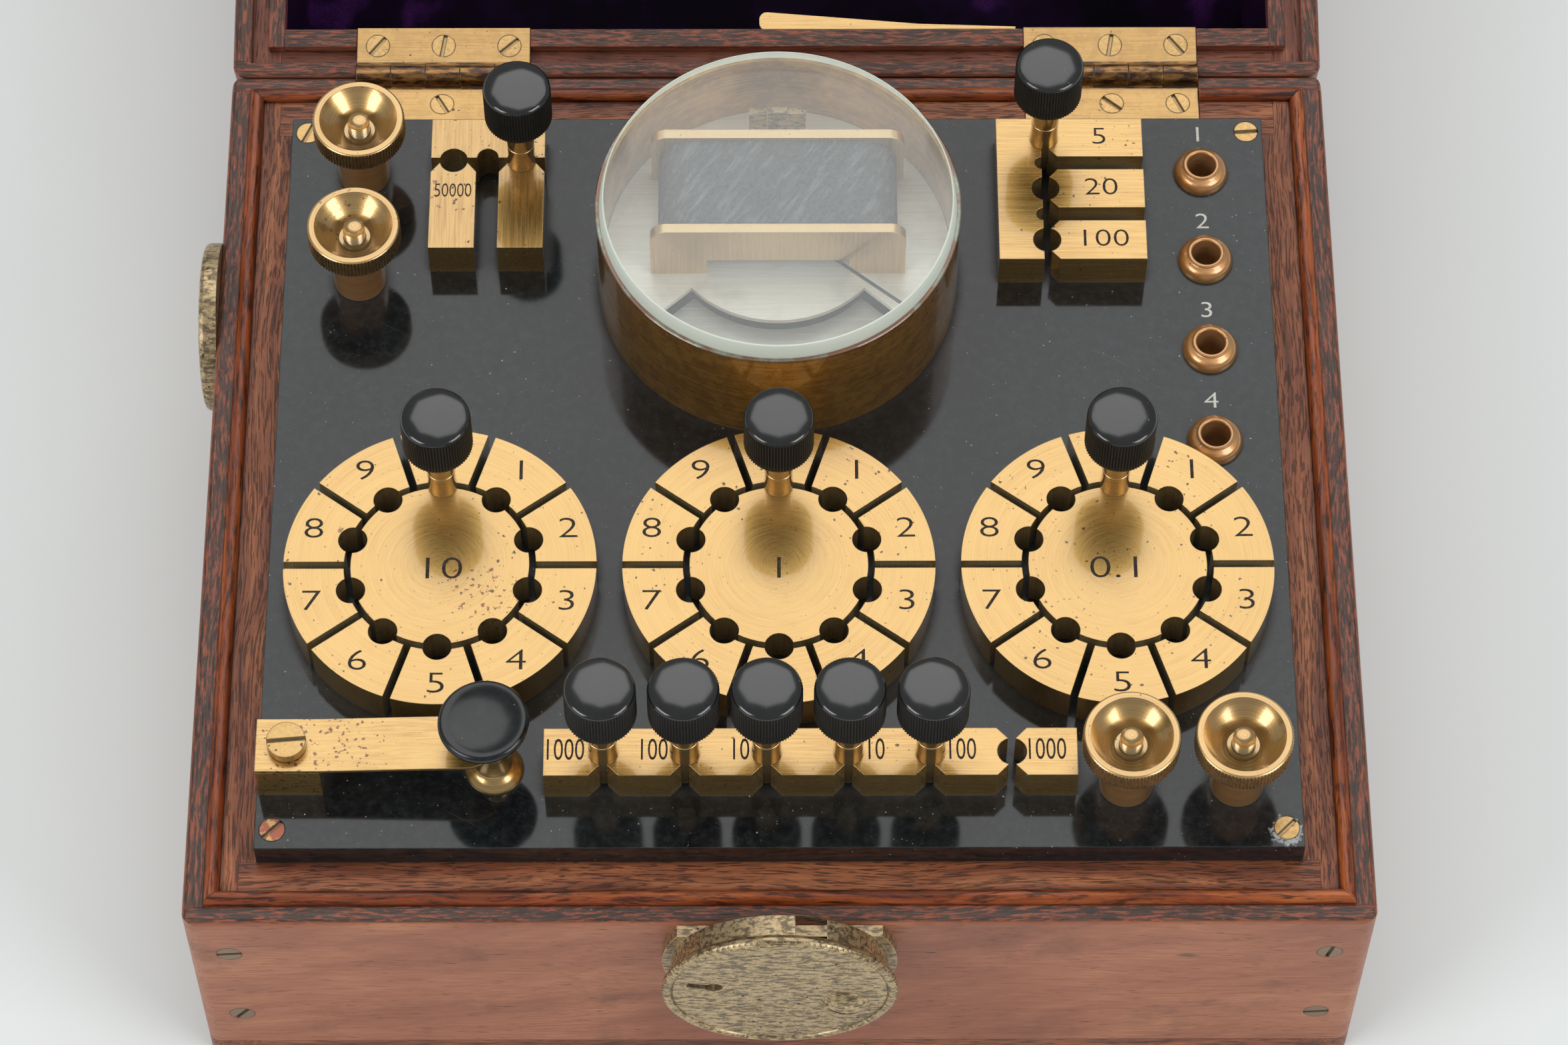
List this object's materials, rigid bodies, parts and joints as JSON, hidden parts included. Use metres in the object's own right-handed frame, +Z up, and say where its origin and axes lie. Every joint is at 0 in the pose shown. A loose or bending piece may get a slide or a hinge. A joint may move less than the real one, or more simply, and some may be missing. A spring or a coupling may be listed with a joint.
{
  "type": "resistance bridge test set",
  "caption": "Portable resistance bridge in a hinged wooden case: three plug dials, ratio arms, shunts, tapping key and a round galvanometer on an ebonite panel.",
  "frame": {"origin": "centre of the underside of the case", "axes": "+X to the right of someone who faces the lock, +Y to the hinges and the open lid, +Z up"},
  "size_m": [0.2451, 0.4335, 0.1205],
  "materials": {
    "mahogany_board": "polished, worn at the edges",
    "mahogany_strip": "polished, darkened",
    "mahogany_bead": "glossy half-round bead",
    "ebonite_panel": "satin black hard rubber",
    "ebonite_knob": "glossy black hard rubber, fine milling",
    "lacquered_brass": "brushed, with brown spots",
    "dark_brass": "aged, brown patina",
    "silvered_plate": "silvered brass, satin",
    "mirror_face": "mirror strip",
    "covered_winding": "dull black cover over wire",
    "silk_covered_wire": "waxed silk covering",
    "velvet": "deep purple pile",
    "blued_steel": "blued",
    "glass": "clear, faintly green at the edge"
  },
  "bodies": {
    "case": {"case_front": "mahogany_board", "case_back": "mahogany_board", "case_sides": "mahogany_board", "case_base": "mahogany_strip", "ledge_strips": "mahogany_strip", "bead_moulding": "mahogany_bead", "brass_screws": "lacquered_brass", "panel": "ebonite_panel", "decade_hubs": "lacquered_brass", "tens_blocks": "lacquered_brass", "units_blocks": "lacquered_brass", "tenths_blocks": "lacquered_brass", "ratio_blocks": "lacquered_brass", "shunt_blocks": "lacquered_brass", "insulation_blocks": "lacquered_brass", "terminal_posts": "lacquered_brass", "test_sockets": "lacquered_brass", "key_pillar": "lacquered_brass", "key_anvil": "lacquered_brass", "meter_drum": "lacquered_brass", "meter_glass": "glass", "meter_dial_plate": "silvered_plate", "coil_cheeks": "lacquered_brass", "coil_winding": "covered_winding", "needle_bracket": "dark_brass", "scale_mirror": "mirror_face", "resistance_coils": "silk_covered_wire", "block_screws": "dark_brass", "hinge_base_leaves": "lacquered_brass", "hinge_pins": "dark_brass", "lock_case": "dark_brass", "lock_cover": "dark_brass", "lock_screw": "dark_brass", "side_boss": "dark_brass"},
    "lid": {"lid_top": "mahogany_board", "lid_walls": "mahogany_board", "lid_strips": "mahogany_strip", "lid_lining": "velvet", "hinge_lid_leaves": "lacquered_brass", "lid_screws": "lacquered_brass", "lid_hasp": "dark_brass", "lid_blade": "lacquered_brass"},
    "key": {"key_arm": "lacquered_brass", "key_knob": "ebonite_knob"},
    "needle": {"needle": "blued_steel"},
    "bolt": {"lock_bolt": "dark_brass"},
    "nut_earth_1": {"nut_earth_1": "lacquered_brass"},
    "nut_earth_2": {"nut_earth_2": "lacquered_brass"},
    "nut_bridge_1": {"nut_bridge_1": "lacquered_brass"},
    "nut_bridge_2": {"nut_bridge_2": "lacquered_brass"},
    "plug_tens": {"plug_tens": "ebonite_knob"},
    "plug_units": {"plug_units": "ebonite_knob"},
    "plug_tenths": {"plug_tenths": "ebonite_knob"},
    "plug_ratio_1": {"plug_ratio_1": "ebonite_knob"},
    "plug_ratio_2": {"plug_ratio_2": "ebonite_knob"},
    "plug_ratio_3": {"plug_ratio_3": "ebonite_knob"},
    "plug_ratio_4": {"plug_ratio_4": "ebonite_knob"},
    "plug_ratio_5": {"plug_ratio_5": "ebonite_knob"},
    "plug_shunt": {"plug_shunt": "ebonite_knob"},
    "plug_insulation": {"plug_insulation": "ebonite_knob"}
  },
  "joints": [
    {"name": "lid_hinge", "type": "hinge", "parent": "case", "child": "lid", "pos_m": [0, 0.10321, 0.0644], "axis": [-1, 0, 0], "range_deg": [-167, 0]},
    {"name": "key_press", "type": "hinge", "parent": "case", "child": "key", "pos_m": [-0.0925, -0.07161, 0.08075], "axis": [0, 1, 0], "range_deg": [0, 1], "stiffness_Nm_per_rad": 2, "springref_deg": -0.11},
    {"name": "needle_swing", "type": "hinge", "parent": "case", "child": "needle", "pos_m": [0, 0.05144, 0.0819], "axis": [0, 0, 1], "range_deg": [-103, 0]},
    {"name": "lock_bolt_slide", "type": "slide", "parent": "case", "child": "bolt", "axis": [1, 0, 0], "range_m": [0, 0.003]},
    {"name": "nut_earth_1_raise", "type": "slide", "parent": "case", "child": "nut_earth_1", "axis": [0, 0, 1], "range_m": [0, 0.006]},
    {"name": "nut_earth_2_raise", "type": "slide", "parent": "case", "child": "nut_earth_2", "axis": [0, 0, 1], "range_m": [0, 0.006]},
    {"name": "nut_bridge_1_raise", "type": "slide", "parent": "case", "child": "nut_bridge_1", "axis": [0, 0, 1], "range_m": [0, 0.006]},
    {"name": "nut_bridge_2_raise", "type": "slide", "parent": "case", "child": "nut_bridge_2", "axis": [0, 0, 1], "range_m": [0, 0.006]},
    {"name": "plug_tens_lift", "type": "slide", "parent": "case", "child": "plug_tens", "axis": [0, 0, 1], "range_m": [0, 0.03]},
    {"name": "plug_units_lift", "type": "slide", "parent": "case", "child": "plug_units", "axis": [0, 0, 1], "range_m": [0, 0.03]},
    {"name": "plug_tenths_lift", "type": "slide", "parent": "case", "child": "plug_tenths", "axis": [0, 0, 1], "range_m": [0, 0.03]},
    {"name": "plug_ratio_1_lift", "type": "slide", "parent": "case", "child": "plug_ratio_1", "axis": [0, 0, 1], "range_m": [0, 0.03]},
    {"name": "plug_ratio_2_lift", "type": "slide", "parent": "case", "child": "plug_ratio_2", "axis": [0, 0, 1], "range_m": [0, 0.03]},
    {"name": "plug_ratio_3_lift", "type": "slide", "parent": "case", "child": "plug_ratio_3", "axis": [0, 0, 1], "range_m": [0, 0.03]},
    {"name": "plug_ratio_4_lift", "type": "slide", "parent": "case", "child": "plug_ratio_4", "axis": [0, 0, 1], "range_m": [0, 0.03]},
    {"name": "plug_ratio_5_lift", "type": "slide", "parent": "case", "child": "plug_ratio_5", "axis": [0, 0, 1], "range_m": [0, 0.03]},
    {"name": "plug_shunt_lift", "type": "slide", "parent": "case", "child": "plug_shunt", "axis": [0, 0, 1], "range_m": [0, 0.03]},
    {"name": "plug_insulation_lift", "type": "slide", "parent": "case", "child": "plug_insulation", "axis": [0, 0, 1], "range_m": [0, 0.03]}
  ]
}
